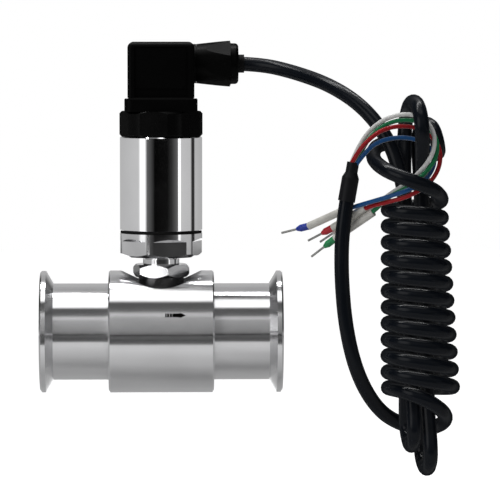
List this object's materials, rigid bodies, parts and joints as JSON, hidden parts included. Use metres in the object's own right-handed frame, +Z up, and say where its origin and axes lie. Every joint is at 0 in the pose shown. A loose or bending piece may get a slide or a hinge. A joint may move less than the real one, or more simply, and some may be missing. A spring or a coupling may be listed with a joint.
{
  "type": "turbine water flow meter",
  "caption": "Inline turbine water flow meter with clamp ferrule ends, a steel pickup housing, a black right-angle plug and a coiled cable with ferruled core wires.",
  "frame": {"origin": "centre of the inlet sealing face, on the flow axis", "axes": "+X along the flow from inlet to outlet, +Z up through the pickup and plug, the side with the flow arrow faces -Y"},
  "size_m": [0.17, 0.0946, 0.1744],
  "materials": {
    "turned_steel": "fine turned stainless steel, bright",
    "spring_steel": "blued spring steel",
    "guide_steel": "machined stainless steel",
    "bearing_carbide": "ground carbide",
    "rotor_steel": "milled stainless steel",
    "cap_steel": "bright turned stainless steel",
    "nut_steel": "bright stainless steel",
    "polished_steel": "mirror polished stainless steel",
    "soft_iron": "plain soft iron",
    "magnet_alloy": "nickel plated magnet",
    "bobbin_plastic": "natural moulded plastic",
    "copper_winding": "enamelled copper wire",
    "black_rubber": "dull black rubber",
    "board_laminate": "green printed board",
    "board_parts": "black moulded packages",
    "ring_plastic": "semi-gloss black plastic",
    "plug_plastic": "fine grained black plastic",
    "contact_brass": "tinned brass tongues",
    "screw_steel": "zinc plated steel",
    "gland_plastic": "black plastic",
    "cable_jacket": "soft semi-gloss black jacket",
    "shrink_sleeve": "black shrink tube",
    "core_white": "white wire insulation",
    "core_green": "green wire insulation",
    "core_red": "red wire insulation",
    "core_blue": "blue wire insulation",
    "marker_sleeve": "pale grey marker tube",
    "collar_white": "white ferrule collar",
    "collar_green": "green ferrule collar",
    "collar_red": "red ferrule collar",
    "collar_blue": "blue ferrule collar",
    "tinned_pin": "tinned copper pin"
  },
  "bodies": {
    "meter": {"meter_body": "turned_steel", "inlet_ferrule": "turned_steel", "outlet_ferrule": "turned_steel", "inlet_retaining_ring": "spring_steel", "outlet_retaining_ring": "spring_steel", "inlet_guide": "guide_steel", "outlet_guide": "guide_steel", "inlet_bush": "bearing_carbide", "outlet_bush": "bearing_carbide", "inlet_thrust_pad": "bearing_carbide", "outlet_thrust_pad": "bearing_carbide", "pickup_shell": "cap_steel", "lock_nut": "nut_steel", "pole_piece": "soft_iron", "coil_bobbin": "bobbin_plastic", "pickup_coil": "copper_winding", "pickup_magnet": "magnet_alloy", "housing_base": "cap_steel", "housing_seal": "black_rubber", "housing_tube": "polished_steel", "board_carrier": "bobbin_plastic", "circuit_board": "board_laminate", "processor_chip": "board_parts", "board_capacitor": "board_parts", "hex_adapter": "ring_plastic", "connector_base": "plug_plastic", "contact_blade_left": "contact_brass", "contact_blade_right": "contact_brass", "contact_blade_front": "contact_brass", "contact_blade_back": "contact_brass", "profile_gasket": "black_rubber", "plug_housing": "plug_plastic", "contact_insert": "plug_plastic", "centre_screw": "screw_steel", "gland_nut": "gland_plastic", "gland_seal": "black_rubber", "gland_washer": "gland_plastic", "cable_lead": "cable_jacket", "cable_hank": "cable_jacket", "cable_tail": "cable_jacket", "end_sleeve": "shrink_sleeve", "wire_white": "core_white", "marker_white": "marker_sleeve", "collar_white": "collar_white", "pin_white": "tinned_pin", "wire_green": "core_green", "marker_green": "marker_sleeve", "collar_green": "collar_green", "pin_green": "tinned_pin", "wire_red": "core_red", "marker_red": "marker_sleeve", "collar_red": "collar_red", "pin_red": "tinned_pin", "wire_blue": "core_blue", "marker_blue": "marker_sleeve", "collar_blue": "collar_blue", "pin_blue": "tinned_pin"},
    "turbine": {"rotor": "rotor_steel", "rotor_shaft": "bearing_carbide"}
  },
  "joints": [
    {"name": "rotor_spin", "type": "hinge", "parent": "meter", "child": "turbine", "pos_m": [0.05, 0, 0], "axis": [1, 0, 0], "continuous": true}
  ]
}
